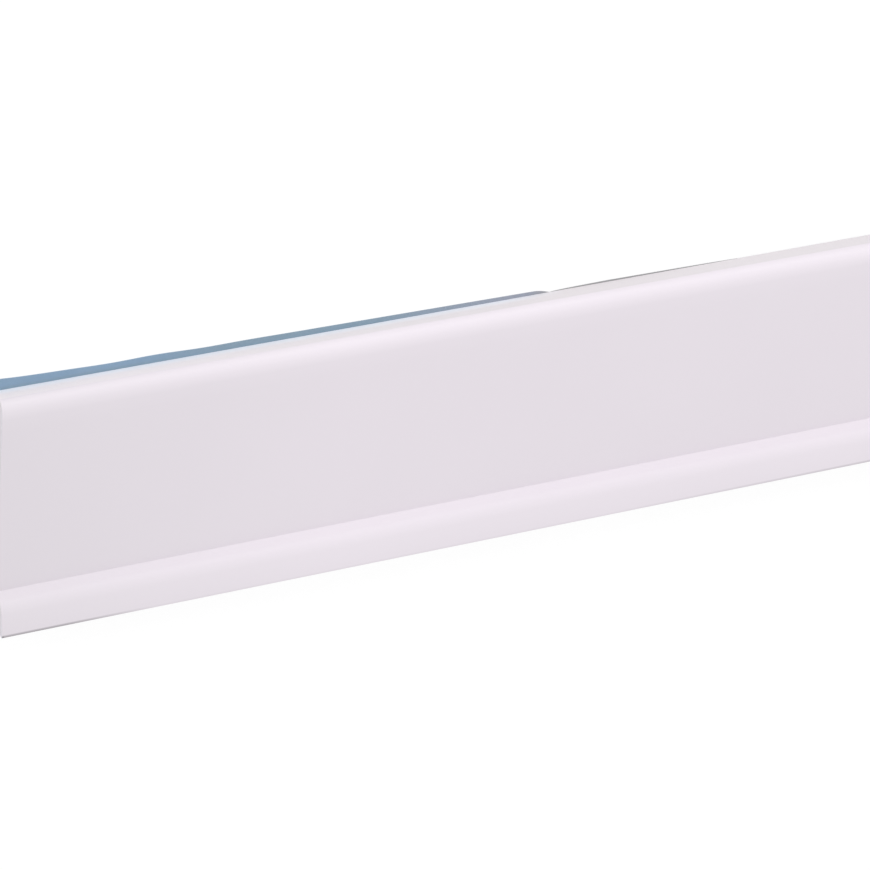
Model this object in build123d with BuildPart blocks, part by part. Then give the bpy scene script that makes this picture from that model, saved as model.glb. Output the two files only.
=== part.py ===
from build123d import *
from math import cos, radians, sin
import os

# A length of extruded plastic edge trim, lying face up on the liner of its adhesive strip.
# X runs along the trim, Y up its face to the rounded edge, Z out of the face. Millimetres.
# The origin is the middle of the lined back, on the floor.
# A turn is the angle between Z and the outward direction of a stretch of the section, in degrees.

# Trim
trim_length = 1000.0
section_height = 50.0
wall_thickness = 2.3

# Upper edge: the face falls off in a long crown, then rounds over to the top
crown_radius = 24.0
crown_turn = 12.0
edge_radius = 1.7

# Lip: a short steep slope out from the crease, a wide bend, and a thinner skirt nearly level with the face
lip_height = 8.2
slope_turn = 60.0
slope_run = 1.75
bend_radius = 3.6
skirt_turn = 12.0
skirt_end_turn = 3.0
tip_thickness = 1.7
tip_rounding = 0.35
inner_bend_radius = 2.0
back_corner_radius = 2.0

# Adhesive foam strip on the flat back, level with the upper edge
foam_thickness = 3.0
foam_setback = 0.1
foam_low_margin = 1.2

# Release liner over the strip, stopping short of its sides but for one end, where it slants out
liner_thickness = 0.15
liner_setback = 0.3
peek_length = 113.5
peek_at_end = 2.7
peek_at_middle = 1.5
peek_at_tip = 0.95
peek_tip_radius = 0.4

# Levels above the floor
back_z = liner_thickness + foam_thickness
face_z = back_z + wall_thickness

# Places up the section, with the foam strip in the middle of the frame
foam_width = section_height - lip_height - foam_setback - foam_low_margin
foam_high_y = foam_width / 2
foam_low_y = -foam_width / 2
edge_y = foam_high_y + foam_setback
crease_y = foam_low_y - foam_low_margin
crown_reach = crown_radius * sin(radians(crown_turn))
round_reach = edge_radius * (1 - sin(radians(crown_turn)))
crown_start_y = edge_y - crown_reach - round_reach

# The skirt takes up the height that the slope and the bend leave
slope_drop = slope_run * cos(radians(slope_turn))
bend_drop = bend_radius * (sin(radians(slope_turn)) - sin(radians(skirt_turn)))
skirt_drop = lip_height - slope_drop - bend_drop
skirt_radius = skirt_drop / (sin(radians(skirt_turn)) - sin(radians(skirt_end_turn)))


def outward(turn):
    """Direction that a stretch of the section with this turn faces."""
    return Vector(sin(radians(turn)), cos(radians(turn)))


def downward(turn):
    """Direction along a stretch of the section with this turn, towards the tip."""
    return Vector(-cos(radians(turn)), sin(radians(turn)))


def where_lines_meet(start, turn, other_start, other_turn):
    """Point where two straight stretches with these turns meet."""
    gap = (other_start - start).dot(outward(other_turn))
    return start + downward(turn) * (gap / downward(turn).dot(outward(other_turn)))


end_plane = Plane.YZ.offset(-trim_length / 2)

with BuildPart() as trim_profile:
    with BuildSketch(end_plane) as trim_section:
        with BuildLine():
            crease = Vector(crease_y, face_z)
            # Lip, from the crease down
            slope = Line(crease, crease + downward(slope_turn) * slope_run)
            bend = JernArc(slope @ 1, slope % 1, bend_radius, slope_turn - skirt_turn)
            skirt = JernArc(bend @ 1, bend % 1, skirt_radius, skirt_turn - skirt_end_turn)
            # Face and upper edge, from the crease up
            face = Line(crease, (crown_start_y, face_z))
            crown = JernArc(face @ 1, face % 1, crown_radius, -crown_turn)
            rounding = JernArc(crown @ 1, crown % 1, edge_radius, crown_turn - 90)
            top = Line(rounding @ 1, (edge_y, back_z))
            # Back of the wall and of the lip, as thick as the wall at the slope and thinner at the tip
            inner_tip = skirt @ 1 - Vector(0, tip_thickness)
            inner_slope_start = crease - outward(slope_turn) * wall_thickness
            inner_bend = where_lines_meet(inner_tip, (skirt_turn + skirt_end_turn) / 2, inner_slope_start, slope_turn)
            back_corner = where_lines_meet(inner_slope_start, slope_turn, Vector(edge_y, back_z), 0)
            back = FilletPolyline(
                inner_tip,
                inner_bend,
                back_corner,
                top @ 1,
                radius=(inner_bend_radius, back_corner_radius),
            )
            tip = Line(skirt @ 1, back @ 0)
        make_face()
        fillet(trim_section.vertices().sort_by(Axis.X)[:2], tip_rounding)
    extrude(amount=trim_length)

trim_profile.part.label = "trim_profile"

with BuildPart() as foam_tape:
    with BuildSketch(Plane.XY.offset(liner_thickness)):
        Rectangle(trim_length, foam_width)
    extrude(amount=foam_thickness)

foam_tape.part.label = "foam_tape"

liner_high_y = foam_high_y - liner_setback
liner_low_y = foam_low_y + liner_setback
peek_start_x = -trim_length / 2
peek_tip = (peek_start_x + peek_length, edge_y + peek_at_tip)

with BuildPart() as release_liner:
    with BuildSketch() as liner_outline:
        with BuildLine():
            slant = Spline(
                (peek_start_x, edge_y + peek_at_end),
                (peek_start_x + peek_length / 2, edge_y + peek_at_middle),
                peek_tip,
            )
            Polyline(
                slant @ 1,
                (peek_start_x + peek_length, liner_high_y),
                (trim_length / 2, liner_high_y),
                (trim_length / 2, liner_low_y),
                (peek_start_x, liner_low_y),
                slant @ 0,
            )
        make_face()
        fillet(liner_outline.vertices().sort_by_distance(peek_tip)[0], peek_tip_radius)
    extrude(amount=liner_thickness)

release_liner.part.label = "release_liner"

os.makedirs("parts", exist_ok=True)
export_step(trim_profile.part, "parts/trim_profile.step")
export_step(foam_tape.part, "parts/foam_tape.step")
export_step(release_liner.part, "parts/release_liner.step")
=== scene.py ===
"""A length of extruded plastic edge trim, lying face up on the liner of its adhesive strip.

The section is drawn once in the plane of the cut end and run along the trim. Lengths in the classes are
millimetres, angles are degrees and colours are linear. The meshes are in metres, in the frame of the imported
model: X runs along the trim, Y up its face and Z out of it.
"""

import logging
from dataclasses import dataclass
from enum import Enum, IntEnum
from math import cos, exp, pi, radians, sin, tan

import bmesh
import bpy
from mathutils import Matrix, Vector


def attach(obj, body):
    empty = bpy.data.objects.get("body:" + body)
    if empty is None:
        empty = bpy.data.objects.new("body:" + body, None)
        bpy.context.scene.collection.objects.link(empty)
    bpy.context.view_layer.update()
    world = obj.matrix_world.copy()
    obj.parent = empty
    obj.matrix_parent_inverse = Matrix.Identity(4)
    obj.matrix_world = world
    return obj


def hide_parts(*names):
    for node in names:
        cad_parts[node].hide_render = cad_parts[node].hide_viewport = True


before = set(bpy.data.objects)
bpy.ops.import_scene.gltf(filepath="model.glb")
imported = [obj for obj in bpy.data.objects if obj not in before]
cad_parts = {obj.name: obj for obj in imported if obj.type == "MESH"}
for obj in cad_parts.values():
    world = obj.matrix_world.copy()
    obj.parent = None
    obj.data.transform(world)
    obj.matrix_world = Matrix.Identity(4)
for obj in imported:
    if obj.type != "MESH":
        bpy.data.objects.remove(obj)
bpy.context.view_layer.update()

MM = 0.001
LOG = logging.getLogger("edge_trim")

Colour = tuple[float, float, float]
Place = tuple[float, float, float]
Span = tuple[float, float]
Socket = bpy.types.NodeSocket
Source = Socket | float | tuple
Values = dict[str | int, Source]


class Axis(Enum):
    """The frame's axes, by the names that the shader nodes give them."""

    ALONG = "X"
    UP = "Y"
    OUT = "Z"


class Sum(Enum):
    """What a Math node works out."""

    ADD = "ADD"
    SUBTRACT = "SUBTRACT"
    MULTIPLY = "MULTIPLY"
    SIZE = "ABSOLUTE"
    LARGER = "MAXIMUM"
    BELOW = "LESS_THAN"


class Dress(IntEnum):
    """Which of a piece's materials a face wears."""

    SKIN = 0
    CUT = 1


@dataclass(frozen=True)
class Levels:
    """Heights and places that the pieces share."""

    length: float = 1000.0
    section_height: float = 50.1
    liner: float = 0.15
    foam: float = 3.0
    foam_half_width: float = 20.25
    foam_setback: float = 0.1
    cut_slant: float = 1.05

    @property
    def back(self) -> float:
        """Height of the trim's flat back."""
        return self.liner + self.foam

    @property
    def edge(self) -> float:
        """How far up the frame the trim's upper edge is."""
        return self.foam_half_width + self.foam_setback

    @property
    def tip(self) -> float:
        """How far up the frame the lip's tip is."""
        return self.edge - self.section_height

    def cut_back(self, up: float) -> float:
        """How far the near cut, a little out of square, stands back from the full length.

        Args:
            up: place up the section.

        Returns:
            Distance, none at the lip's tip.
        """
        return (up - self.tip) * tan(radians(self.cut_slant))


@dataclass(frozen=True)
class Rounding:
    """How a corner is rounded.

    Attributes:
        radius: radius of the arc.
        steps: straight pieces that the arc is made of.
    """

    radius: float
    steps: int


@dataclass(frozen=True)
class Corner:
    """One corner of an outline.

    Attributes:
        place: the sharp corner in the plane of the outline.
        rounding: the arc that rounds it.
    """

    place: Vector
    rounding: Rounding


class OutlinePen:
    """Draws a closed outline with rounded corners and fills it with one face.

    Attributes:
        guard: how far from its ends a long side gets a point, which keeps the arcs' shading off it.
        guard_room: how many guards long a side is at least before it gets them.
        merge_distance: points that are nearer to each other than this become one, metres.
    """

    guard = 0.12
    guard_room = 4
    merge_distance = 1e-7

    def __init__(self, corners: list[Corner]) -> None:
        """Keeps the corners, in order round the outline.

        Args:
            corners: the corners, at least three.
        """
        self.corners = corners
        self.bm = bmesh.new()

    def tangent_length(self, index: int) -> float:
        """How far from a corner its arc starts.

        Args:
            index: which corner.

        Returns:
            Distance along either side of the corner.
        """
        return self.corners[index].rounding.radius * tan(abs(self.turning(index)) / 2)

    def heading(self, index: int) -> Vector:
        """Direction from a corner to the one after it.

        Args:
            index: which corner.

        Returns:
            Unit vector in the plane of the outline.
        """
        here = self.corners[index].place
        there = self.corners[(index + 1) % len(self.corners)].place
        return (there - here).normalized()

    def turning(self, index: int) -> float:
        """Signed angle that the outline turns through at a corner.

        Args:
            index: which corner.

        Returns:
            Radians, positive to the left.
        """
        before = self.heading(index - 1)
        after = self.heading(index)
        return -before.angle_signed(after)

    def draw(self) -> bmesh.types.BMesh:
        """Draws every side and arc at x = 0 in metres, and fills the outline.

        Returns:
            Mesh that holds the outline's vertices, edges and one face.
        """
        start = self.corners[0].place + self.heading(0) * self.tangent_length(0)
        last = self.bm.verts.new(self.in_space(start))
        count = len(self.corners)
        for number in range(1, count + 1):
            index = number % count
            last = self.side_to(last, index)
            last = self.arc_round(last, index)
        bmesh.ops.remove_doubles(self.bm, verts=self.bm.verts[:], dist=self.merge_distance)
        bmesh.ops.contextual_create(self.bm, geom=self.bm.edges[:])
        return self.bm

    def side_to(self, last: bmesh.types.BMVert, index: int) -> bmesh.types.BMVert:
        """Draws the straight side up to a corner's arc, with a guard point near each end.

        Args:
            last: where the outline has got to.
            index: the corner that the side leads to.

        Returns:
            The side's last vertex.
        """
        heading = self.heading(index - 1)
        begin = self.corners[index - 1].place + heading * self.tangent_length(index - 1)
        end = self.corners[index].place - heading * self.tangent_length(index)
        stops = [end]
        if (end - begin).length > self.guard_room * self.guard:
            stops = [begin + heading * self.guard, end - heading * self.guard, end]
        for stop in stops:
            made = bmesh.ops.extrude_vert_indiv(self.bm, verts=[last])
            last = made["verts"][0]
            last.co = self.in_space(stop)
        return last

    def arc_round(self, last: bmesh.types.BMVert, index: int) -> bmesh.types.BMVert:
        """Spins the outline round a corner.

        Args:
            last: where the outline has got to, at the arc's start.
            index: the corner.

        Returns:
            The arc's last vertex.
        """
        corner = self.corners[index]
        turning = self.turning(index)
        before = self.heading(index - 1)
        inward = Vector((-before.y, before.x)) * (1 if turning > 0 else -1)
        start = corner.place - before * self.tangent_length(index)
        made = bmesh.ops.spin(
            self.bm,
            geom=[last],
            cent=self.in_space(start + inward * corner.rounding.radius),
            axis=(1, 0, 0),
            angle=turning,
            steps=corner.rounding.steps,
            use_merge=False,
            use_duplicate=False,
        )
        return next(item for item in made["geom_last"] if isinstance(item, bmesh.types.BMVert))

    @staticmethod
    def in_space(place: Vector) -> Vector:
        """A place of the outline as a point in metres.

        Args:
            place: across and up.

        Returns:
            Point in the plane x = 0.
        """
        return Vector((0, place.x * MM, place.y * MM))


class Stock:
    """A length of one section along X, centred on x = 0, with two cut ends.

    Attributes:
        facing_end: a face whose normal leans this far along X is an end.
    """

    facing_end = 0.5

    def __init__(self, bm: bmesh.types.BMesh, levels: Levels, arris: float) -> None:
        """Keeps the section and how it is cut.

        Args:
            bm: mesh that holds the section and its face at x = 0.
            levels: the shared sizes.
            arris: how much the edges of the ends are blunted.
        """
        self.bm = bm
        self.levels = levels
        self.arris = arris

    def run_along(self) -> None:
        """Runs the section along X, blunts the edges of both ends and slants the near one."""
        length = self.levels.length
        near = self.bm.faces[:]
        start = (self.arris - length / 2) * MM
        bmesh.ops.translate(self.bm, verts=self.bm.verts[:], vec=(start, 0, 0))
        made = bmesh.ops.extrude_face_region(self.bm, geom=near, use_keep_orig=True)
        moved = [item for item in made["geom"] if isinstance(item, bmesh.types.BMVert)]
        bmesh.ops.translate(self.bm, verts=moved, vec=((length - 2 * self.arris) * MM, 0, 0))
        bmesh.ops.recalc_face_normals(self.bm, faces=self.bm.faces[:])
        for face in self.bm.faces:
            face.smooth = True
        for cap in [face for face in self.bm.faces if abs(face.normal.x) > self.facing_end]:
            self.blunt(cap)
        self.slant_near_end()

    def blunt(self, cap: bmesh.types.BMFace) -> None:
        """Blunts the edge round an end, and shades the end and its edge flat.

        Args:
            cap: the end's face.
        """
        cap.smooth = False
        cap.material_index = Dress.CUT
        rim = bmesh.ops.inset_region(
            self.bm,
            faces=[cap],
            thickness=self.arris * MM,
            depth=self.arris * MM,
            use_even_offset=True,
        )
        for face in rim["faces"]:
            face.smooth = False
            face.material_index = Dress.CUT
            for edge in face.edges:
                edge.smooth = False

    def slant_near_end(self) -> None:
        """Leans the near end back up the section, as its cut is a little out of square."""
        lean = Matrix.Identity(4)
        lean[0][1] = tan(radians(self.levels.cut_slant))
        lean[0][3] = self.levels.cut_back(0) * MM
        near = [vert for vert in self.bm.verts if vert.co.x < 0]
        bmesh.ops.transform(self.bm, matrix=lean, verts=near)


def finish_piece(bm: bmesh.types.BMesh, name: str, materials: list[bpy.types.Material]) -> bpy.types.Object:
    """Puts a finished mesh into the scene as an object at the origin.

    Args:
        bm: the mesh, which is freed.
        name: the object's name.
        materials: its materials, in the order of the faces' numbers.

    Returns:
        The new object.
    """
    mesh = bpy.data.meshes.new(name)
    bm.to_mesh(mesh)
    bm.free()
    for material in materials:
        mesh.materials.append(material)
    piece = bpy.data.objects.new(name, mesh)
    bpy.context.scene.collection.objects.link(piece)
    return piece


def outward(turn: float) -> Vector:
    """Direction that a stretch of the section faces, for its turn from straight up."""
    return Vector((sin(radians(turn)), cos(radians(turn))))


def downward(turn: float) -> Vector:
    """Direction along a stretch of the section towards the tip, for its turn."""
    return Vector((-cos(radians(turn)), sin(radians(turn))))


def where_lines_meet(start: Vector, turn: float, other: Vector, other_turn: float) -> Vector:
    """Point where two straight stretches of the section meet.

    Args:
        start: a point on the first.
        turn: its turn.
        other: a point on the second.
        other_turn: its turn.

    Returns:
        The common point.
    """
    gap = (other - start).dot(outward(other_turn))
    return start + downward(turn) * (gap / downward(turn).dot(outward(other_turn)))


def grey(level: float) -> tuple[float, float, float, float]:
    """A grey of this level, with its alpha."""
    return (level, level, level, 1)


class ShaderBench:
    """Adds nodes to one node tree and joins them."""

    def __init__(self, tree: bpy.types.NodeTree) -> None:
        """Keeps the tree that the nodes go into."""
        self.tree = tree

    def feed(self, node: bpy.types.Node, values: Values) -> None:
        """Sets a node's inputs.

        Args:
            node: the node.
            values: input sockets by name or number, each with a plain value or a socket to link from.
        """
        for key, value in values.items():
            socket = node.inputs[key]
            if isinstance(value, Socket):
                self.tree.links.new(value, socket)
            else:
                socket.default_value = value

    def node(self, kind: str, values: Values | None = None, **settings: object) -> bpy.types.Node:
        """Adds a node.

        Args:
            kind: the node's type.
            values: what its inputs get.
            settings: the node's own properties.

        Returns:
            The new node.
        """
        made = self.tree.nodes.new(kind)
        for key, value in settings.items():
            setattr(made, key, value)
        self.feed(made, values or {})
        return made

    def math(self, work: Sum, first: Source, second: Source = 0.0) -> Socket:
        """Adds a Math node.

        Args:
            work: what it works out.
            first: its first value or socket.
            second: its second value or socket.

        Returns:
            The node's output socket.
        """
        return self.node("ShaderNodeMath", {0: first, 1: second}, operation=work.value).outputs[0]

    def stretch(self, value: Source, reads: Span, gives: Span) -> Socket:
        """Maps a range of values onto another, and holds it there.

        Args:
            value: socket to read.
            reads: start and end of the range that is read.
            gives: what its start and its end become.

        Returns:
            The node's output socket.
        """
        values = {
            "Value": value,
            "From Min": reads[0],
            "From Max": reads[1],
            "To Min": gives[0],
            "To Max": gives[1],
        }
        return self.node("ShaderNodeMapRange", values).outputs["Result"]

    def fade(self, distance: Source, reach: Span, near: float, far: float) -> Socket:
        """Fades from one value to another over a stretch of a distance.

        Args:
            distance: the distance, metres.
            reach: where the fading starts and ends.
            near: value before it starts.
            far: value after it ends.

        Returns:
            Socket with the value.
        """
        return self.stretch(distance, (reach[0] * MM, reach[1] * MM), (near, far))

    def tint(self, mask: Source, colour: Colour | Socket, other: Colour) -> Socket:
        """Mixes two colours by a mask.

        Args:
            mask: 0 for the first colour and 1 for the second.
            colour: first colour, or a socket with it.
            other: second colour.

        Returns:
            The mixed colour's socket.
        """
        first = colour if isinstance(colour, Socket) else (*colour, 1)
        values = {"Factor": mask, "A": first, "B": (*other, 1)}
        return self.node("ShaderNodeMix", values, data_type="RGBA").outputs["Result"]

    def bump(self, height: Source, depth: float, strength: float) -> Socket:
        """Turns a pattern into relief.

        Args:
            height: the pattern, 0 to 1.
            depth: how deep the relief is.
            strength: how much of it shows, 0 to 1.

        Returns:
            Socket with the surface's new direction.
        """
        values = {"Strength": strength, "Distance": depth * MM, "Height": height}
        return self.node("ShaderNodeBump", values).outputs["Normal"]

    def part_of(self, place: Socket, axis: Axis) -> Socket:
        """One coordinate of a place, as a socket.

        Args:
            place: the place.
            axis: which coordinate.

        Returns:
            The coordinate's socket.
        """
        return self.node("ShaderNodeSeparateXYZ", {0: place}).outputs[axis.value]


@dataclass(frozen=True)
class Gauge:
    """Measures where a point is on the trim, as sockets in metres.

    Attributes:
        bench: where the nodes go.
        place: socket with the place on the piece.
        levels: the shared sizes.
    """

    bench: ShaderBench
    place: Socket
    levels: Levels

    def from_near_end(self) -> Socket:
        """Distance from the near end, the one that is cut in view."""
        along = self.bench.part_of(self.place, Axis.ALONG)
        return self.bench.math(Sum.ADD, along, self.levels.length / 2 * MM)

    def from_either_end(self) -> Socket:
        """Distance from whichever end is nearer."""
        from_middle = self.bench.math(Sum.SIZE, self.bench.part_of(self.place, Axis.ALONG))
        return self.bench.math(Sum.SUBTRACT, self.levels.length / 2 * MM, from_middle)

    def below_edge(self) -> Socket:
        """Distance down the face from the upper edge."""
        up = self.bench.part_of(self.place, Axis.UP)
        return self.bench.math(Sum.SUBTRACT, self.levels.edge * MM, up)

    def past_edge(self) -> Socket:
        """Distance out past the upper edge."""
        up = self.bench.part_of(self.place, Axis.UP)
        return self.bench.math(Sum.SUBTRACT, up, self.levels.edge * MM)

    def above_tip(self) -> Socket:
        """Distance up the face from the lip's tip."""
        up = self.bench.part_of(self.place, Axis.UP)
        return self.bench.math(Sum.SUBTRACT, up, self.levels.tip * MM)

    def above_floor(self) -> Socket:
        """Height above the floor."""
        return self.bench.part_of(self.place, Axis.OUT)


class SharedEffect:
    """A shader node group that several finishes use, built once."""

    name: str
    inputs: dict[str, float]

    def __init__(self) -> None:
        """Builds the group, with the place on the piece as its first input and one mask as its output."""
        self.tree = bpy.data.node_groups.new(self.name, "ShaderNodeTree")
        sockets = self.tree.interface
        sockets.new_socket(name="Place", in_out="INPUT", socket_type="NodeSocketVector")
        for label, value in self.inputs.items():
            socket = sockets.new_socket(name=label, in_out="INPUT", socket_type="NodeSocketFloat")
            socket.default_value = value
        sockets.new_socket(name="Mask", in_out="OUTPUT", socket_type="NodeSocketFloat")
        bench = ShaderBench(self.tree)
        entry = bench.node("NodeGroupInput")
        bench.node("NodeGroupOutput", {"Mask": self.mask(bench, entry.outputs)})

    def mask(self, bench: ShaderBench, given: bpy.types.bpy_prop_collection) -> Socket:
        """Works out the mask.

        Args:
            bench: where the nodes go.
            given: the group's input sockets.

        Returns:
            Socket with the mask, 0 to 1.
        """
        raise NotImplementedError

    def use(self, bench: ShaderBench, place: Socket, **values: float) -> Socket:
        """Places the group in a material.

        Args:
            bench: the material's bench.
            place: socket with the place on the piece, in metres.
            values: the group's other inputs, with underscores for spaces.

        Returns:
            Socket with the mask.
        """
        named = {label.replace("_", " "): value for label, value in values.items()}
        made = bench.node("ShaderNodeGroup", node_tree=self.tree)
        bench.feed(made, {"Place": place, **named})
        return made.outputs["Mask"]


class DrawnLines(SharedEffect):
    """Faint lines along the trim, as a die leaves them."""

    name = "drawn_lines"
    inputs = {"Lines per metre": 900.0, "Lasting": 0.01}
    detail = 3.0
    fineness = 0.6

    def mask(self, bench: ShaderBench, given: bpy.types.bpy_prop_collection) -> Socket:
        """Reads noise that is drawn out along the trim."""
        apart = bench.node("ShaderNodeSeparateXYZ", {0: given["Place"]}).outputs
        along = bench.math(Sum.MULTIPLY, apart["X"], given["Lasting"])
        drawn = bench.node("ShaderNodeCombineXYZ", {"X": along, "Y": apart["Y"], "Z": apart["Z"]})
        values = {
            "Vector": drawn.outputs[0],
            "Scale": given["Lines per metre"],
            "Detail": self.detail,
            "Roughness": self.fineness,
        }
        return bench.node("ShaderNodeTexNoise", values).outputs["Fac"]


class Mottle(SharedEffect):
    """Soft blotches, as uneven pigment or handling leaves them."""

    name = "mottle"
    inputs = {"Blotches per metre": 40.0, "Detail": 4.0}
    noise_span = (0.3, 0.7)

    def mask(self, bench: ShaderBench, given: bpy.types.bpy_prop_collection) -> Socket:
        """Spreads plain noise out to the whole range."""
        values = {"Vector": given["Place"], "Scale": given["Blotches per metre"], "Detail": given["Detail"]}
        noise = bench.node("ShaderNodeTexNoise", values).outputs["Fac"]
        return bench.stretch(noise, self.noise_span, (0.0, 1.0))


class Dust(SharedEffect):
    """Sparse fine specks."""

    name = "dust"
    inputs = {"Specks per metre": 260.0, "Share": 0.08}
    speck_edge = (0.04, 0.12)

    def mask(self, bench: ShaderBench, given: bpy.types.bpy_prop_collection) -> Socket:
        """Keeps the middles of some of the cells of a Voronoi pattern."""
        values = {"Vector": given["Place"], "Scale": given["Specks per metre"]}
        cells = bench.node("ShaderNodeTexVoronoi", values).outputs
        near = bench.stretch(cells["Distance"], self.speck_edge, (1.0, 0.0))
        chance = bench.node("ShaderNodeSeparateColor", {0: cells["Color"]}).outputs[0]
        picked = bench.math(Sum.BELOW, chance, given["Share"])
        return bench.math(Sum.MULTIPLY, near, picked)


@dataclass(frozen=True)
class Effects:
    """The shared effects, built once."""

    lines: DrawnLines
    mottle: Mottle
    dust: Dust


@dataclass(frozen=True)
class Blank:
    """A new material before its finish is worked out.

    Attributes:
        material: the material.
        bench: its bench.
        shader: its Principled shader.
        place: socket with the place on the piece, in metres.
    """

    material: bpy.types.Material
    bench: ShaderBench
    shader: bpy.types.Node
    place: Socket


def new_material(name: str) -> Blank:
    """Makes a material with a Principled shader and the place on the piece.

    Args:
        name: the material's name.

    Returns:
        The new material with what its finish needs.
    """
    material = bpy.data.materials.new(name)
    material.use_nodes = True
    bench = ShaderBench(material.node_tree)
    shader = material.node_tree.nodes["Principled BSDF"]
    place = bench.node("ShaderNodeTexCoord").outputs["Object"]
    return Blank(material, bench, shader, place)


@dataclass(frozen=True)
class GlossyTrimPlastic:
    """Smooth white extruded plastic with a pale lilac cast.

    A highlight is painted on the rounding and the lip, the colour is darker towards either end, and shade is
    painted along the lip's tip.
    """

    levels: Levels
    colour: Colour = (0.792, 0.737, 0.793)
    blotch_colour: Colour = (0.783, 0.728, 0.784)
    blotches_per_metre: float = 35.0
    dust_colour: Colour = (0.5, 0.48, 0.46)
    darkening_strength: float = 0.12
    specks_per_metre: float = 180.0
    speck_share: float = 0.03
    # The colour turns a little darker towards either end, within 70 mm of it.
    end_darkening_colour: Colour = (0.6, 0.58, 0.605)
    end_darkening_reach: Span = (0.0, 70.0)
    end_darkening_strength: float = 0.24
    # Painted highlight: a lighter colour on the rounded upper edge and on the lip's slope.
    painted_highlight_colour: Colour = (0.86, 0.8, 0.861)
    highlight_rise: Span = (0.0, 1.4)
    highlight_fall: Span = (1.4, 3.5)
    highlight_at_top: float = 0.45
    lip_highlight: float = 0.25
    lip_highlight_reach: Span = (8.2, 8.5)
    # Painted shade: a thin dark line along the lip's tip, strongest at the corners and near the ends.
    tip_shade_colour: Colour = (0.16, 0.15, 0.16)
    tip_shade_width: Span = (0.45, 0.8)
    tip_shade_reach: Span = (13.0, 30.0)
    tip_shade_at_end: float = 0.56
    tip_shade_along: float = 0.04
    far_shade_reach: Span = (120.0, 190.0)
    far_shade: float = 0.28
    end_corner_shade_reach: Span = (0.3, 1.0)
    end_corner_shade: float = 0.85
    lines_per_metre: float = 700.0
    lines_lasting: float = 0.006
    line_depth: float = 0.0008
    line_share: float = 0.5
    uneven_span: Span = (0.2, 0.8)
    roughness_span: Span = (0.37, 0.47)
    ior: float = 1.5

    def material(self, effects: Effects) -> bpy.types.Material:
        """Makes the material.

        Args:
            effects: the shared effects.

        Returns:
            The material.
        """
        blank = new_material("trim_plastic")
        bench = blank.bench
        gauge = Gauge(bench, blank.place, self.levels)
        blotches = effects.mottle.use(bench, blank.place, Blotches_per_metre=self.blotches_per_metre)
        lines = effects.lines.use(
            bench, blank.place, Lines_per_metre=self.lines_per_metre, Lasting=self.lines_lasting
        )
        specks = effects.dust.use(
            bench, blank.place, Specks_per_metre=self.specks_per_metre, Share=self.speck_share
        )
        # Darker towards either end.
        end_darkening = bench.fade(gauge.from_either_end(), self.end_darkening_reach, self.end_darkening_strength, 0.0)
        base = bench.tint(blotches, self.colour, self.blotch_colour)
        base = bench.tint(bench.math(Sum.MULTIPLY, specks, self.darkening_strength), base, self.dust_colour)
        # Painted highlight on the rounded upper edge and the lip.
        base = bench.tint(self.painted_highlight(bench, gauge), base, self.painted_highlight_colour)
        base = bench.tint(end_darkening, base, self.end_darkening_colour)
        # Painted shade along the lip's tip.
        base = bench.tint(self.tip_shade(bench, gauge), base, self.tip_shade_colour)
        from_lines = bench.math(Sum.MULTIPLY, lines, self.line_share)
        from_blotches = bench.math(Sum.MULTIPLY, blotches, 1 - self.line_share)
        uneven = bench.math(Sum.ADD, from_lines, from_blotches)
        values = {
            "Base Color": base,
            "Roughness": bench.stretch(uneven, self.uneven_span, self.roughness_span),
            "Normal": bench.bump(lines, self.line_depth, 1.0),
            "IOR": self.ior,
        }
        bench.feed(blank.shader, values)
        return blank.material

    def painted_highlight(self, bench: ShaderBench, gauge: Gauge) -> Socket:
        """Where a highlight is painted into the colour: on the rounded upper edge, and a little on the lip.

        Args:
            bench: where the nodes go.
            gauge: measures on the piece.

        Returns:
            Socket with the mask.
        """
        below_edge = gauge.below_edge()
        rise = bench.fade(below_edge, self.highlight_rise, self.highlight_at_top, 1.0)
        fall = bench.fade(below_edge, self.highlight_fall, 1.0, 0.0)
        on_lip = bench.fade(gauge.above_tip(), self.lip_highlight_reach, self.lip_highlight, 0.0)
        return bench.math(Sum.LARGER, bench.math(Sum.MULTIPLY, rise, fall), on_lip)

    def tip_shade(self, bench: ShaderBench, gauge: Gauge) -> Socket:
        """Where shade is painted along the lip's tip: most at the corners and near the ends, faint after
        that, and stronger again further along.

        Args:
            bench: where the nodes go.
            gauge: measures on the piece.

        Returns:
            Socket with the mask.
        """
        from_end = gauge.from_either_end()
        tip_shade = bench.fade(from_end, self.tip_shade_reach, self.tip_shade_at_end, self.tip_shade_along)
        tip_shade = bench.math(Sum.LARGER, tip_shade, bench.fade(from_end, self.far_shade_reach, 0.0, self.far_shade))
        tip_shade = bench.math(Sum.LARGER, tip_shade, bench.fade(from_end, self.end_corner_shade_reach, self.end_corner_shade, 0.0))
        return bench.math(Sum.MULTIPLY, bench.fade(gauge.above_tip(), self.tip_shade_width, 1.0, 0.0), tip_shade)


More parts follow.
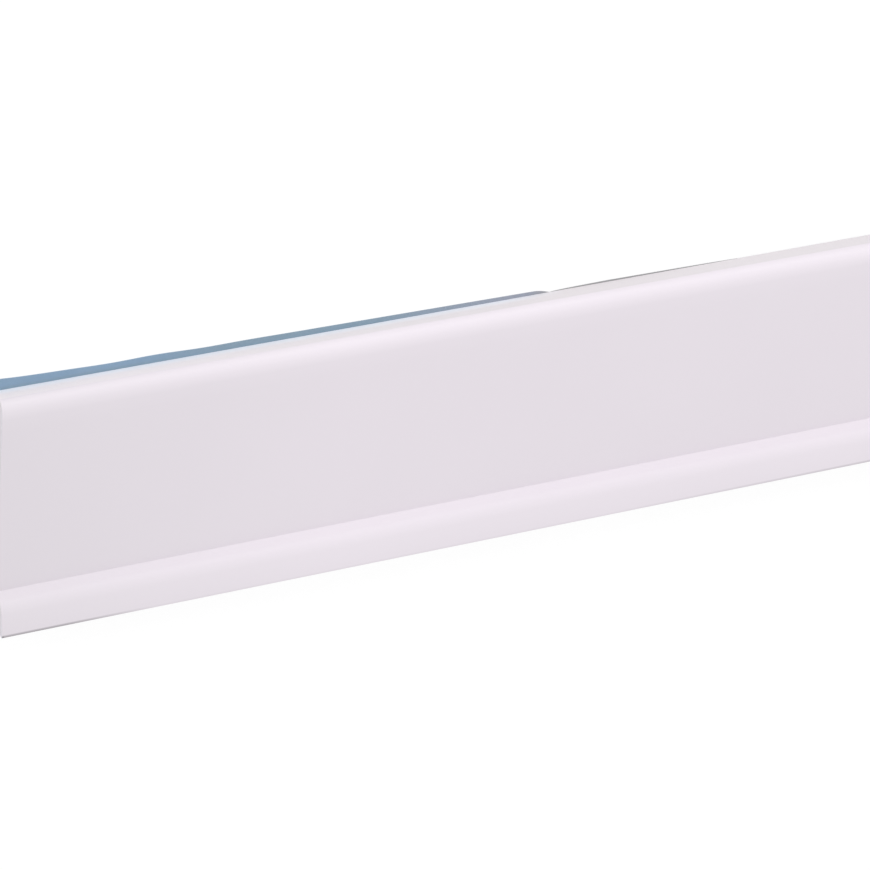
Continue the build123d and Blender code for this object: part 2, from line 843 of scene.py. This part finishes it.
@dataclass(frozen=True)
class SawnPlastic:
    """The trim's cut end, dull and crossed by fine saw marks, its colour a little darker than the face's to
    paint the shade that the end stands in.
    """

    # Painted shade: the end's colour is set a little darker than the face's, and the saw marks are darker
    # still.
    colour: Colour = (0.75, 0.73, 0.77)
    mark_colour: Colour = (0.63, 0.61, 0.65)
    marks_per_metre: float = 900.0
    slant: float = 62.0
    waver: float = 1.5
    detail: float = 2.0
    blotches_per_metre: float = 600.0
    mark_depth: float = 0.02
    mark_strength: float = 0.5
    roughness: float = 0.65

    def material(self, effects: Effects) -> bpy.types.Material:
        """Makes the material.

        Args:
            effects: the shared effects.

        Returns:
            The material.
        """
        blank = new_material("sawn_end")
        bench = blank.bench
        turn = (radians(self.slant), 0, 0)
        turned = bench.node("ShaderNodeMapping", {"Vector": blank.place, "Rotation": turn})
        values = {
            "Vector": turned.outputs[0],
            "Scale": self.marks_per_metre,
            "Distortion": self.waver,
            "Detail": self.detail,
        }
        waves = bench.node("ShaderNodeTexWave", values, bands_direction="Z").outputs["Fac"]
        blotches = effects.mottle.use(bench, blank.place, Blotches_per_metre=self.blotches_per_metre)
        marks = bench.math(Sum.MULTIPLY, waves, blotches)
        values = {
            "Base Color": bench.tint(marks, self.colour, self.mark_colour),
            "Roughness": self.roughness,
            "Normal": bench.bump(marks, self.mark_depth, self.mark_strength),
        }
        bench.feed(blank.shader, values)
        return blank.material


@dataclass(frozen=True)
class TapeFoam:
    """White closed-cell foam with a knife-cut edge, darker away from the near end, with a painted bluish
    reflection of the film low down near that end.
    """

    levels: Levels
    colour: Colour = (0.83, 0.785, 0.81)
    pore_colour: Colour = (0.71, 0.665, 0.69)
    cells_per_metre: float = 5200.0
    pore_span: Span = (0.05, 0.45)
    pores_shown: Span = (0.15, 0.6)
    blotches_per_metre: float = 300.0
    cell_depth: float = 0.03
    cell_strength: float = 0.4
    # The colour turns darker away from the near end, between 30 mm and 100 mm along.
    far_darkening_colour: Colour = (0.745, 0.71, 0.735)
    far_darkening_start: Span = (30.0, 100.0)
    darkening_strength: float = 0.75
    # Painted reflection: a bluish cast from the blue film, low on the strip and only where the film peeks
    # out.
    film_reflection_colour: Colour = (0.84, 0.86, 0.92)
    film_reflection_height: Span = (0.5, 1.6)
    film_reflection_reach: Span = (105.0, 118.0)
    roughness: float = 0.85
    specular_level: float = 0.25

    def material(self, effects: Effects) -> bpy.types.Material:
        """Makes the material.

        Args:
            effects: the shared effects.

        Returns:
            The material.
        """
        blank = new_material("tape_foam")
        bench = blank.bench
        gauge = Gauge(bench, blank.place, self.levels)
        values = {"Vector": blank.place, "Scale": self.cells_per_metre}
        cells = bench.node("ShaderNodeTexVoronoi", values).outputs["Distance"]
        pores = bench.stretch(cells, self.pore_span, (1.0, 0.0))
        blotches = effects.mottle.use(bench, blank.place, Blotches_per_metre=self.blotches_per_metre)
        shown = bench.math(Sum.MULTIPLY, pores, bench.stretch(blotches, (0.0, 1.0), self.pores_shown))
        from_near_end = gauge.from_near_end()
        # Darker away from the near end.
        far_darkening = bench.fade(from_near_end, self.far_darkening_start, 0.0, self.darkening_strength)
        # Painted reflection of the blue film, low on the strip near the cut end.
        low = bench.fade(gauge.above_floor(), self.film_reflection_height, 1.0, 0.0)
        film_reflection = bench.math(Sum.MULTIPLY, low, bench.fade(from_near_end, self.film_reflection_reach, 1.0, 0.0))
        base = bench.tint(shown, self.colour, self.pore_colour)
        base = bench.tint(far_darkening, base, self.far_darkening_colour)
        base = bench.tint(film_reflection, base, self.film_reflection_colour)
        values = {
            "Base Color": base,
            "Roughness": self.roughness,
            "Specular IOR Level": self.specular_level,
            "Normal": bench.bump(cells, self.cell_depth, self.cell_strength),
        }
        bench.feed(blank.shader, values)
        return blank.material


@dataclass(frozen=True)
class LinerFilm:
    """Blue release film with a faint sheen, which dulls and fades away from the cut end; shade is painted on
    it in the corner by the foam, and further on it turns grey to paint a shadow line.
    """

    levels: Levels
    colour: Colour = (0.226, 0.35, 0.49)
    worn_colour: Colour = (0.246, 0.366, 0.505)
    blotches_per_metre: float = 130.0
    # Painted shade: this darker, duller colour marks the corner by the foam, and also dulls the film away
    # from the cut end.
    dull_and_shade_colour: Colour = (0.236, 0.338, 0.428)
    dulling: Span = (30.0, 45.0)
    foam_corner_shade_reach: Span = (0.25, 0.75)
    foam_corner_shade: float = 0.8
    faded_colour: Colour = (0.33, 0.36, 0.435)
    fading: Span = (74.6, 106.0)
    # Painted shadow: from here on the film is grey, so that its sliver past the blue stretch reads as a thin
    # shadow line.
    shadow_line_colour: Colour = (0.35, 0.35, 0.355)
    shadow_line_reach: Span = (110.0, 115.0)
    lines_per_metre: float = 1500.0
    lines_lasting: float = 0.05
    line_share: float = 0.4
    ripple_depth: float = 0.02
    ripple_strength: float = 0.6
    roughness_span: Span = (0.34, 0.5)

    def material(self, effects: Effects) -> bpy.types.Material:
        """Makes the material.

        Args:
            effects: the shared effects.

        Returns:
            The material.
        """
        blank = new_material("liner_film")
        bench = blank.bench
        gauge = Gauge(bench, blank.place, self.levels)
        blotches = effects.mottle.use(bench, blank.place, Blotches_per_metre=self.blotches_per_metre)
        lines = effects.lines.use(
            bench, blank.place, Lines_per_metre=self.lines_per_metre, Lasting=self.lines_lasting
        )
        ripple = bench.math(Sum.ADD, blotches, bench.math(Sum.MULTIPLY, lines, self.line_share))
        from_near_end = gauge.from_near_end()
        # Painted shade in the corner by the foam.
        painted_corner_shade = bench.fade(gauge.past_edge(), self.foam_corner_shade_reach, self.foam_corner_shade, 0.0)
        dull_and_shade = bench.math(Sum.LARGER, painted_corner_shade, bench.fade(from_near_end, self.dulling, 0.0, 1.0))
        base = bench.tint(blotches, self.colour, self.worn_colour)
        base = bench.tint(dull_and_shade, base, self.dull_and_shade_colour)
        base = bench.tint(bench.fade(from_near_end, self.fading, 0.0, 1.0), base, self.faded_colour)
        # Painted shadow line: the film turns grey past the blue stretch.
        base = bench.tint(bench.fade(from_near_end, self.shadow_line_reach, 0.0, 1.0), base, self.shadow_line_colour)
        values = {
            "Base Color": base,
            "Roughness": bench.stretch(blotches, (0.0, 1.0), self.roughness_span),
            "Normal": bench.bump(ripple, self.ripple_depth, self.ripple_strength),
        }
        bench.feed(blank.shader, values)
        return blank.material


@dataclass(frozen=True)
class TrimProfile:
    """The extruded trim: flat face, crowned and rounded upper edge, crease and lip."""

    levels: Levels
    wall: float = 2.3
    crown: Rounding = Rounding(28.0, 24)
    crown_turn: float = 10.0
    upper_edge: Rounding = Rounding(1.82, 28)
    top_corner: Rounding = Rounding(0.04, 4)
    crease: Rounding = Rounding(0.15, 10)
    lip_height: float = 8.3
    slope_turn: float = 60.0
    slope_run: float = 1.75
    bend: Rounding = Rounding(3.6, 20)
    skirt_turn: float = 12.0
    skirt_end_turn: float = 3.0
    skirt_steps: int = 14
    tip_thickness: float = 1.7
    tip: Rounding = Rounding(0.35, 8)
    tip_room: float = 1.2
    inner_bend: Rounding = Rounding(2.0, 14)
    back_corner: Rounding = Rounding(2.0, 14)
    arris: float = 0.06

    def corners(self) -> list[Corner]:
        """The section's corners, from the tip up the face and back along the wall's inner side.

        Returns:
            Corners in order.
        """
        crease = Vector((self.levels.tip + self.lip_height, self.levels.back + self.wall))
        top_back = Vector((self.levels.edge, self.levels.back))
        lip = self.lip_corners(crease)
        tip = lip[0].place
        inner_tip = tip - Vector((0, self.tip_thickness))
        inner_turn = (self.skirt_turn + self.skirt_end_turn) / 2
        inner_slope = crease - outward(self.slope_turn) * self.wall
        back_corner = where_lines_meet(inner_slope, self.slope_turn, top_back, 0)
        inner_bend = where_lines_meet(inner_tip, inner_turn, inner_slope, self.slope_turn)
        return [
            *lip,
            Corner(crease, self.crease),
            *self.upper_corners(crease.y),
            Corner(top_back, self.top_corner),
            Corner(back_corner, self.back_corner),
            Corner(inner_bend, self.inner_bend),
            Corner(inner_tip, self.tip),
        ]

    def lip_corners(self, crease: Vector) -> list[Corner]:
        """The lip's corners, from the tip up to the bend under the crease.

        The skirt takes up the height that the slope and the bend leave. It is one long arc, which stops
        short of the tip's own.

        Args:
            crease: place of the crease.

        Returns:
            Corners of the tip, the skirt and the bend.
        """
        bend_length = self.bend.radius * tan(radians(self.slope_turn - self.skirt_turn) / 2)
        bend = crease + downward(self.slope_turn) * (self.slope_run + bend_length)
        skirt_drop = self.lip_height - self.slope_run * cos(radians(self.slope_turn))
        skirt_drop -= self.bend.radius * (sin(radians(self.slope_turn)) - sin(radians(self.skirt_turn)))
        skirt_radius = skirt_drop / (sin(radians(self.skirt_turn)) - sin(radians(self.skirt_end_turn)))
        skirt_length = skirt_radius * tan(radians(self.skirt_turn - self.skirt_end_turn) / 2)
        skirt = bend + downward(self.skirt_turn) * (bend_length + skirt_length)
        tip = skirt + downward(self.skirt_end_turn) * skirt_length
        skirt_share = 1 - self.tip.radius / skirt_length * self.tip_room
        return [
            Corner(tip, self.tip),
            Corner(skirt, Rounding(skirt_radius * skirt_share, self.skirt_steps)),
            Corner(bend, self.bend),
        ]

    def upper_corners(self, face_z: float) -> list[Corner]:
        """The corners of the crown and of the rounded upper edge.

        Args:
            face_z: height of the flat face.

        Returns:
            Both corners.
        """
        crown_length = self.crown.radius * tan(radians(self.crown_turn) / 2)
        crown_reach = self.crown.radius * sin(radians(self.crown_turn))
        rounding_reach = self.upper_edge.radius * (1 - sin(radians(self.crown_turn)))
        crown_start = self.levels.edge - crown_reach - rounding_reach
        crown = Vector((crown_start + crown_length, face_z))
        rounding = where_lines_meet(crown, self.crown_turn, Vector((self.levels.edge, 0)), 90)
        return [Corner(crown, self.crown), Corner(rounding, self.upper_edge)]

    def build(self, skin: bpy.types.Material, sawn: bpy.types.Material) -> bpy.types.Object:
        """Builds the trim.

        Args:
            skin: material of the extruded surfaces.
            sawn: material of the two ends.

        Returns:
            The trim.
        """
        bm = OutlinePen(self.corners()).draw()
        Stock(bm, self.levels, self.arris).run_along()
        piece = finish_piece(bm, "trim_length", [skin, sawn])
        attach(piece, "root")
        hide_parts("trim_profile")
        return piece


@dataclass(frozen=True)
class FoamTape:
    """The adhesive strip of foam on the flat back."""

    levels: Levels
    corner: Rounding = Rounding(0.04, 5)
    waist: Rounding = Rounding(3.0, 6)
    waist_depth: float = 0.04
    arris: float = 0.1

    def build(self, foam: bpy.types.Material) -> bpy.types.Object:
        """Builds the strip, with its long sides drawn in a little at the middle of their height.

        Args:
            foam: its material.

        Returns:
            The strip.
        """
        half = self.levels.foam_half_width
        low = self.levels.liner
        high = self.levels.back
        middle = (low + high) / 2
        corners = [
            Corner(Vector((-half, low)), self.corner),
            Corner(Vector((-half + self.waist_depth, middle)), self.waist),
            Corner(Vector((-half, high)), self.corner),
            Corner(Vector((half, high)), self.corner),
            Corner(Vector((half - self.waist_depth, middle)), self.waist),
            Corner(Vector((half, low)), self.corner),
        ]
        bm = OutlinePen(corners).draw()
        Stock(bm, self.levels, self.arris).run_along()
        piece = finish_piece(bm, "foam_strip", [foam, foam])
        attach(piece, "root")
        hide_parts("foam_tape")
        return piece


@dataclass(frozen=True)
class ReleaseLiner:
    """The film under the strip, which slants out past the upper edge at the cut end.

    Past the end of that stretch it comes out once more as a narrow sliver, which the film's grey there turns
    into a painted shadow line along the edge.
    """

    levels: Levels
    setback: float = 0.3
    cell: float = 0.5
    peek_length: float = 114.7
    peek_at_end: float = 1.73
    peek_at_tip: float = 0.55
    flare: float = 0.77
    flare_reach: float = 8.0
    waver: float = 0.13
    waver_place: float = 33.0
    waver_length: float = 22.0
    waver_reach: float = 16.0
    taper: float = 3.7
    taper_power: float = 2.0
    hidden: float = -0.21
    # The sliver stands in for a thin shadow line along the upper edge.
    sliver_start: float = 115.0
    sliver_widest: float = 127.3
    sliver_end: float = 156.5
    sliver_peek: float = 0.15
    sliver_rise: float = 0.36
    sliver_fall: float = 0.6

    def peek(self, distance: float) -> float:
        """How far the film reaches past the trim's upper edge.

        Args:
            distance: from the cut end.

        Returns:
            Reach, negative where the film stops short of the edge.
        """
        if distance < self.peek_length:
            return self.strip_reach(distance)
        if distance < self.sliver_end:
            return self.sliver_reach(distance)
        return -self.setback - self.levels.foam_setback

    def strip_reach(self, distance: float) -> float:
        """Reach of the main stretch: a flare at the cut end, a slight waver and a tapered tip.

        Args:
            distance: from the cut end.

        Returns:
            Reach past the edge.
        """
        share = distance / self.peek_length
        reach = self.peek_at_end + (self.peek_at_tip - self.peek_at_end) * share
        reach += self.flare * exp(-distance / self.flare_reach)
        past_waver = distance - self.waver_place
        swing = cos(2 * pi * past_waver / self.waver_length)
        reach += self.waver * swing * exp(-((past_waver / self.waver_reach) ** 2))
        left = min((self.peek_length - distance) / self.taper, 1)
        return self.hidden + (reach - self.hidden) * (1 - (1 - left) ** self.taper_power)

    def sliver_reach(self, distance: float) -> float:
        """Reach of the sliver, which widens quickly and narrows slowly.

        Args:
            distance: from the cut end.

        Returns:
            Reach past the edge.
        """
        rise = (distance - self.sliver_start) / (self.sliver_widest - self.sliver_start)
        fall = (self.sliver_end - distance) / (self.sliver_end - self.sliver_widest)
        share = min(max(rise, 0) ** self.sliver_rise, max(fall, 0) ** self.sliver_fall, 1)
        return self.hidden + (self.sliver_peek - self.hidden) * share

    def build(self, film: bpy.types.Material) -> bpy.types.Object:
        """Builds the film as a sheet with a wandering upper edge.

        Args:
            film: its material.

        Returns:
            The film.
        """
        bm = bmesh.new()
        length = self.levels.length * MM
        low = -self.levels.foam_half_width + self.setback
        columns = round(self.levels.length / self.cell)
        bmesh.ops.create_grid(bm, x_segments=columns, y_segments=1, size=length / 2)
        for vert in bm.verts:
            upper = vert.co.y > 0
            cut_back = self.levels.cut_back(self.levels.edge if upper else low) * MM
            vert.co.x += cut_back * (length / 2 - vert.co.x) / length
            distance = (vert.co.x + length / 2) / MM
            vert.co.y = (self.levels.edge + self.peek(distance) if upper else low) * MM
            vert.co.z = 0
        sheet = bm.faces[:]
        made = bmesh.ops.extrude_face_region(bm, geom=sheet, use_keep_orig=True)
        raised = [item for item in made["geom"] if isinstance(item, bmesh.types.BMVert)]
        bmesh.ops.translate(bm, verts=raised, vec=(0, 0, self.levels.liner * MM))
        bmesh.ops.recalc_face_normals(bm, faces=bm.faces[:])
        piece = finish_piece(bm, "liner_strip", [film])
        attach(piece, "root")
        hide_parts("release_liner")
        return piece


@dataclass(frozen=True)
class Lamp:
    """A rectangular soft lamp.

    Attributes:
        name: its name.
        place: where it hangs, metres.
        target: what it faces, metres.
        sides: its two sides, metres.
        power: watts.
    """

    name: str
    place: Place
    target: Place
    sides: tuple[float, float]
    power: float

    def hang(self) -> None:
        """Adds the lamp to the scene."""
        data = bpy.data.lights.new(self.name, "AREA")
        data.shape = "RECTANGLE"
        data.size, data.size_y = self.sides
        data.energy = self.power
        lamp = bpy.data.objects.new(self.name, data)
        bpy.context.scene.collection.objects.link(lamp)
        aim = Vector(self.target) - Vector(self.place)
        turn = aim.to_track_quat("-Z", "Y").to_matrix().to_4x4()
        lamp.matrix_world = Matrix.Translation(self.place) @ turn


@dataclass(frozen=True)
class Studio:
    """Floor, world, lamps and camera, with places and sizes in metres.

    Attributes:
        floor_side: side of the square floor.
        floor_level: height of the floor, a hair below what lies on it.
        floor_level_lit: how light the floor is for the light that it sends back to the object.
        shown_glow: light of its own that the floor shows to the camera.
        shown_pale: how light it is to the camera besides, which is what keeps the shadow.
        ambient: strength of the world's light on the object.
        lamps: the lamps.
        camera_place: where the photograph was taken from.
        camera_right: direction to the picture's right.
        camera_up: direction to its top.
        camera_back: direction from the picture to the viewer.
        focal_length: of the camera, mm.
        clip: nearest and furthest that it sees.
    """

    floor_side: float = 12.0
    floor_level: float = -0.00002
    floor_level_lit: float = 0.85
    shown_glow: float = 0.78
    shown_pale: float = 0.26
    ambient: float = 0.87
    lamps: tuple[Lamp, ...] = (
        Lamp(
            name="long_window",
            place=(-0.1, 0.5, 0.26),
            target=(-0.1, 0.0, 0.0),
            sides=(3.0, 0.36),
            power=2.6,
        ),
    )
    camera_place: Place = (-0.70680, 0.42627, 0.58368)
    camera_right: Place = (0.90832, 0.07226, 0.41199)
    camera_up: Place = (0.17410, 0.83028, -0.52946)
    camera_back: Place = (-0.38033, 0.55265, 0.74157)
    focal_length: float = 165.93
    clip: Span = (0.01, 100.0)

    def build(self) -> None:
        """Sets the whole studio up."""
        self.set_camera()
        self.set_world()
        self.lay_floor()
        for lamp in self.lamps:
            lamp.hang()
        bpy.context.scene.view_settings.view_transform = "Standard"

    def set_camera(self) -> None:
        """Puts the camera where the photograph was taken from."""
        data = bpy.data.cameras.new("camera")
        data.lens = self.focal_length
        data.clip_start, data.clip_end = self.clip
        camera = bpy.data.objects.new("camera", data)
        bpy.context.scene.collection.objects.link(camera)
        axes = Matrix((self.camera_right, self.camera_up, self.camera_back)).transposed()
        camera.matrix_world = Matrix.Translation(self.camera_place) @ axes.to_4x4()
        bpy.context.scene.camera = camera

    @staticmethod
    def seen_directly(bench: ShaderBench) -> Socket:
        """Mask that is 1 for rays from the camera and for those that gloss or glass sends on.

        Args:
            bench: where the nodes go.

        Returns:
            Socket with the mask.
        """
        path = bench.node("ShaderNodeLightPath").outputs
        mirrored = bench.math(Sum.LARGER, path["Is Glossy Ray"], path["Is Transmission Ray"])
        return bench.math(Sum.LARGER, path["Is Camera Ray"], mirrored)

    def set_world(self) -> None:
        """White behind the object, and an even light on it."""
        world = bpy.data.worlds.new("world")
        world.use_nodes = True
        bpy.context.scene.world = world
        bench = ShaderBench(world.node_tree)
        strength = bench.stretch(self.seen_directly(bench), (0, 1), (self.ambient, 1.0))
        bench.feed(world.node_tree.nodes["Background"], {"Color": grey(1), "Strength": strength})

    def lay_floor(self) -> None:
        """A level white floor that keeps the object's shadow."""
        bm = bmesh.new()
        bmesh.ops.create_grid(bm, x_segments=1, y_segments=1, size=self.floor_side / 2)
        bmesh.ops.translate(bm, verts=bm.verts[:], vec=(0, 0, self.floor_level))
        material = bpy.data.materials.new("floor_white")
        material.use_nodes = True
        bench = ShaderBench(material.node_tree)
        nodes = material.node_tree.nodes
        nodes.remove(nodes["Principled BSDF"])
        lit = bench.node("ShaderNodeBsdfDiffuse", {"Color": grey(self.floor_level_lit)})
        pale = bench.node("ShaderNodeBsdfDiffuse", {"Color": grey(self.shown_pale)})
        glow = bench.node("ShaderNodeEmission", {"Color": grey(1), "Strength": self.shown_glow})
        shown = bench.node("ShaderNodeAddShader", {0: pale.outputs[0], 1: glow.outputs[0]})
        values = {0: self.seen_directly(bench), 1: lit.outputs[0], 2: shown.outputs[0]}
        mixed = bench.node("ShaderNodeMixShader", values)
        bench.feed(nodes["Material Output"], {"Surface": mixed.outputs[0]})
        finish_piece(bm, "floor", [material])


def main() -> None:
    """Builds the studio, and the trim, its strip and its liner in it."""
    logging.basicConfig(level=logging.INFO, format="%(name)s: %(message)s")
    Studio().build()
    effects = Effects(DrawnLines(), Mottle(), Dust())
    levels = Levels()
    skin = GlossyTrimPlastic(levels).material(effects)
    sawn = SawnPlastic().material(effects)
    pieces = [
        TrimProfile(levels).build(skin, sawn),
        FoamTape(levels).build(TapeFoam(levels).material(effects)),
        ReleaseLiner(levels).build(LinerFilm(levels).material(effects)),
    ]
    for piece in pieces:
        LOG.info("%s: %d faces", piece.name, len(piece.data.polygons))


if __name__ == "__main__":
    main()
